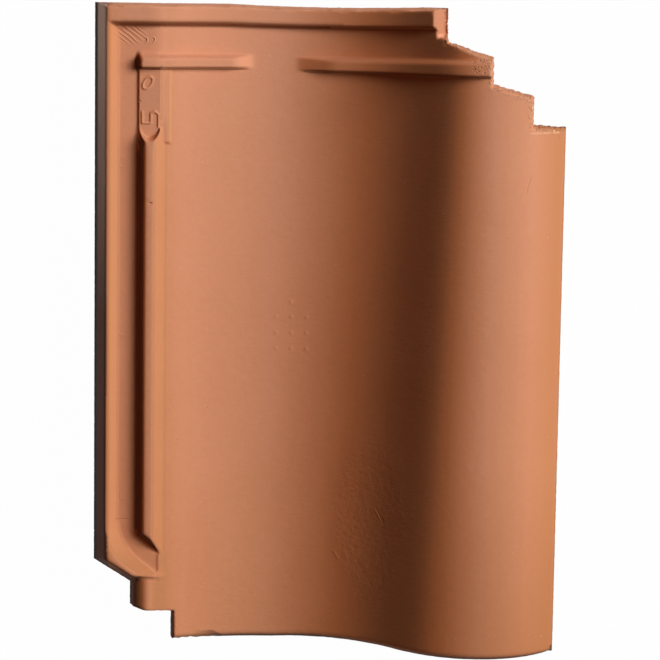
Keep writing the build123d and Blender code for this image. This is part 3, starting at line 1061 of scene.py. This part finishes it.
def shaded_clay_color(tree, place, x, y, lean, dip, mottle):
    """The clay's tone, with painted shade by the way the surface faces the lamps, and its edges."""
    # Paler towards the head, which is painted light falling off from the head to the foot, with soft clouds
    # and a fine mottle
    clouds = tree.noise(place, 22.0, 2.0, 0.5)
    tone = y * 0.0026 + (clouds - 0.5) * 0.45 + (mottle - 0.5) * 0.4 + 0.55
    color = blend_colors(tree, tree.clip(tone), fired_deep, fired_pale)

    # Painted shade by the way the surface faces the lamps: redder where it turns away to the left, deeper on
    # steep walls turned from the lamps, where the lip's inner slope faces the right, and where it faces the
    # foot
    lip_side = tree.clip((lock_x + 13.0 - x) / 10.0)
    for share, over in (
        (tree.clip(0.05 - lean * 2.6), left_facing_shade_tint),
        (tree.clip((-lean - 0.42) * 6.0) * (x > -50.0), flank_shade_tint),
        (tree.clip((-lean - dip * 0.8 - 0.68) * 6.0) * (x < 0.0), lock_wall_shade_tint),
        (tree.clip((lean - 0.3) * 8.0) * lip_side, lip_inner_shade_tint),
        (tree.clip((-dip - 0.3) * 3.0) * (y > 60.0), foot_facing_shade_tint),
    ):
        color = tint(tree, share, color, over)

    # The long edges are a clearer orange, the right edge is darker, and the right half darkens towards the
    # foot
    edges = tree.clip((abs(x) - 108.0) * 0.09)
    color = blend_colors(tree, edges * 0.7, color, edge_clay)
    color = tint(tree, tree.clip((x - (right_x - 17.0)) / 13.0), color, right_edge_tint)
    return tint(tree, tree.clip(y * -0.009 - 0.6) * tree.clip(x * 0.014 - 0.3), color, low_right_tint)


def shaded_and_darkened_color(tree, color, x, y, z, wall):
    """The clay darker in the groove's corner and at the start of the left cross rib, with painted shade on
    the lip's brow, and with painted shade and a painted reflection on the lip's outer wall.
    """
    # Darker in the groove's corner beside the rib, and at the start of the left cross rib
    corner = tree.near(x, rib_x + 0.2, 2.0) * tree.clip((pad_foot_y - y) * 0.15)
    corner = corner * tree.clip((y - rib_slant[0][1]) * 0.3)
    color = tint(tree, corner, color, groove_corner_dark_tint)
    rib_start = patch(tree, x, y, left_rib_x - 0.2, cross_rib_y - 3.4, 2.0, 6.0)
    color = tint(tree, rib_start, color, rib_start_dark_tint)
    # Painted shade on the outer side of the lip's crest
    brow = tree.clip((left_x + 10.4 - x) / 2.4) * (y > corner_start[1])
    color = tint(tree, brow, color, lip_brow_shade_tint)
    # Painted shade on the lip's outer wall, blackest at its foot, paling towards the head into a painted
    # reflection
    wall_shade = blend_colors(tree, tree.clip(y * 0.007 - 0.05), wall_shade_brown, wall_painted_reflection)
    wall_shade = blend_colors(tree, tree.clip((31.0 - z) * 0.4), wall_shade, wall_shade_black)
    return blend_colors(tree, tree.clip(wall * 1.5), color, wall_shade)


def edged_color(tree, color, place, x, y, lean, dip, edge):
    """The clay with dark dots along the head edge, a dark line down the right edge, and a line of painted
    shade along the foot.
    """
    facing_up = tree.clip((0.97 - lean * lean - dip * dip) * 12.0)
    dots = tree.clip(tree.noise(place, 420.0, 2.0, 0.6) * 9.0 - 4.6) * (y > head_y - 2.0) * facing_up
    side = tree.clip(1.6 - edge * 1.4) * tree.clip(dots + (x > right_x - 1.0) * 0.6)
    # Painted shade: a dark line along the foot edge, standing in for the arris turned from the lamps
    past_crumbs = tree.clip((x - crumb_center_x - 4.0) / 14.0)
    foot = tree.clip(2.5 - edge) * (y < foot_y + 5.0) * past_crumbs * 0.85
    return blend_colors(tree, tree.most(side, foot * facing_up), color, edge_dark)


def specked_color(tree, color, specks, choice):
    """The clay with pale and dark specks."""
    speck = tree.clip((0.12 - specks) * 20.0)
    color = blend_colors(tree, speck * tree.clip((choice - 0.62) * 12.0) * 0.35, color, pale_speck)
    return blend_colors(tree, speck * tree.clip((0.36 - choice) * 12.0) * 0.45, color, dark_speck)


def fettled_color(tree, color, x, y, lean, reach, torn):
    """The clay with its cut corner: duller at the cuts, and pale where it crumbled or was scraped."""
    end_cut = tree.clip((x - (step_high[0][0] - 9.0)) * 0.5) * (y > end_cut_foot_y)
    color = tint(tree, end_cut * tree.clip((lean - 0.3) * 4.0), color, end_cut_tint)
    scraped = tree.clip(1.2 - stroke(tree, x, y, *scraped_line) / 0.6)
    color = blend_colors(tree, scraped * 0.5, color, scraped_clay)
    color = tint(tree, tree.clip(1.4 - reach / 1.6), color, step_cut_tint)
    return blend_colors(tree, torn * 0.6, color, torn_clay)


def make_clay():
    """Fired clay: a matt orange body, mottled, specked and scratched, with worn and fettled edges, and with
    painted shade where its faces turn from the lamps.
    """
    material, tree = new_material("fired_clay")
    place = tree.add("ShaderNodeTexCoord", output="Object")
    x, y, z = (tree.add("ShaderNodeSeparateXYZ", {}, {0: place}, axis) / MM for axis in "XYZ")
    lean = attribute(tree, "lean")
    dip = attribute(tree, "dip")
    reach = attribute(tree, "step_reach")
    mottle = tree.noise(place, 260.0, 3.0, 0.6)
    specks = tree.add("ShaderNodeTexVoronoi", {}, {"Vector": place, "Scale": 260.0}, "Distance")
    choice = tree.noise(place, 120.0, 1.0, 0.5)
    torn = tree.clip(2.0 - reach / 1.9) * tree.clip(tree.noise(place, 430.0, 3.0, 0.7) * 9.0 - 4.6)
    color = shaded_clay_color(tree, place, x, y, lean, dip, mottle)
    color = shaded_and_darkened_color(tree, color, x, y, z, attribute(tree, "lip_wall"))
    color = edged_color(tree, color, place, x, y, lean, dip, attribute(tree, "edge_reach"))
    color = specked_color(tree, color, specks, choice)
    color = fettled_color(tree, color, x, y, lean, reach, torn)

    # Relief finer than the mesh: grain, a soft ripple and the torn cut
    grain = tree.noise(place, 2200.0, 2.0, 0.6)
    stretched = tree.add("ShaderNodeMapping", {}, {"Vector": place, "Scale": (160.0, 620.0, 300.0)})
    ripple = tree.noise(stretched, 1.0, 2.0, 0.6)
    pits = tree.clip((0.1 - specks) * 10.0) * tree.clip((choice - 0.5) * 6.0)
    height = grain * 0.05 + ripple * 0.07 + mottle * 0.10 - pits * 0.12 + torn * 0.5
    height = height + handling(tree, place, x, y)
    bump = tree.add("ShaderNodeBump", {}, {"Strength": 1.0, "Distance": MM, "Height": height}, "Normal")
    roughness = 0.74 + mottle * 0.14 + torn * 0.08
    shader = tree.add("ShaderNodeBsdfPrincipled", {}, {
        "Base Color": color, "Roughness": roughness, "Specular IOR Level": 0.18, "Normal": bump})
    tree.add("ShaderNodeOutputMaterial", {}, {"Surface": shader})
    return material


def seen_white(tree):
    """1 for the rays that meet plain white: the camera's, and those mirrored or let through."""
    kinds = ("Is Camera Ray", "Is Glossy Ray", "Is Transmission Ray")
    return tree.most(*(tree.add("ShaderNodeLightPath", output=kind) for kind in kinds))


def make_floor():
    """A pale floor that shows white to the camera and keeps the tile's shadow."""
    material, tree = new_material("studio_floor")
    lit = tree.add("ShaderNodeBsdfDiffuse", {}, {"Color": floor_grey})
    white = tree.add("ShaderNodeEmission", {}, {"Color": plain_white, "Strength": 1.0})
    mixed = tree.add("ShaderNodeMixShader", {}, {0: seen_white(tree) * floor_whiteness, 1: lit, 2: white})
    tree.add("ShaderNodeOutputMaterial", {}, {"Surface": mixed})
    corners = [(x * floor_half, y * floor_half, 0) for x, y in ((-1, -1), (1, -1), (1, 1), (-1, 1))]
    mesh = bpy.data.meshes.new("floor")
    mesh.from_pydata(corners, [], [(0, 1, 2, 3)])
    mesh.materials.append(material)
    floor = bpy.data.objects.new("floor", mesh)
    bpy.context.scene.collection.objects.link(floor)
    return floor


def make_world():
    """A dim warm surrounding light, which shows white to the camera."""
    world = bpy.data.worlds.new("studio")
    world.use_nodes = True
    world.node_tree.nodes.clear()
    tree = Tree(world.node_tree)
    ambient = tree.add("ShaderNodeBackground", {}, {"Color": ambient_color, "Strength": ambient_strength})
    white = tree.add("ShaderNodeBackground", {}, {"Color": plain_white, "Strength": 1.0})
    mixed = tree.add("ShaderNodeMixShader", {}, {0: seen_white(tree), 1: ambient, 2: white})
    tree.add("ShaderNodeOutputWorld", {}, {"Surface": mixed})
    bpy.context.scene.world = world


def make_lamp(name, elevation, turn, strength):
    """A broad lamp far to the right, this many degrees above the floor and turned towards the head."""
    lamp = bpy.data.lights.new(name, "SUN")
    lamp.energy = strength
    lamp.angle = math.radians(lamp_spread)
    rise, side = math.radians(elevation), math.radians(turn)
    direction = Vector((math.cos(rise) * math.cos(side), math.cos(rise) * math.sin(side), math.sin(rise)))
    holder = bpy.data.objects.new(name, lamp)
    holder.rotation_euler = direction.to_track_quat("Z", "Y").to_euler()
    bpy.context.scene.collection.objects.link(holder)


def make_camera():
    """The camera above the head of the tile, tilted back towards its foot."""
    tilt = math.radians(camera_tilt)
    across = Vector((1, 0, 0))
    upwards = Vector((0, math.cos(tilt), -math.sin(tilt)))
    backwards = Vector((0, math.sin(tilt), math.cos(tilt)))
    axes = (
        across * math.cos(camera_roll) + upwards * math.sin(camera_roll),
        upwards * math.cos(camera_roll) - across * math.sin(camera_roll),
        backwards,
    )
    data = bpy.data.cameras.new("camera")
    data.sensor_width = 36.0
    data.lens = data.sensor_width * focal_length_pixels / picture_width_pixels
    data.clip_end = 20.0
    camera = bpy.data.objects.new("camera", data)
    eye = Vector(camera_eye) * MM
    camera.matrix_world = Matrix([(*row, place) for row, place in zip(zip(*axes), eye)] + [(0, 0, 0, 1)])
    bpy.context.scene.collection.objects.link(camera)
    bpy.context.scene.camera = camera


clay = make_clay()
tile = press(make_blank(), clay)
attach(tile, "root")
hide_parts("roof_tile")
make_floor()
make_world()
for lamp in lamps:
    make_lamp(*lamp)
make_camera()
bpy.context.scene.view_settings.view_transform = "Standard"
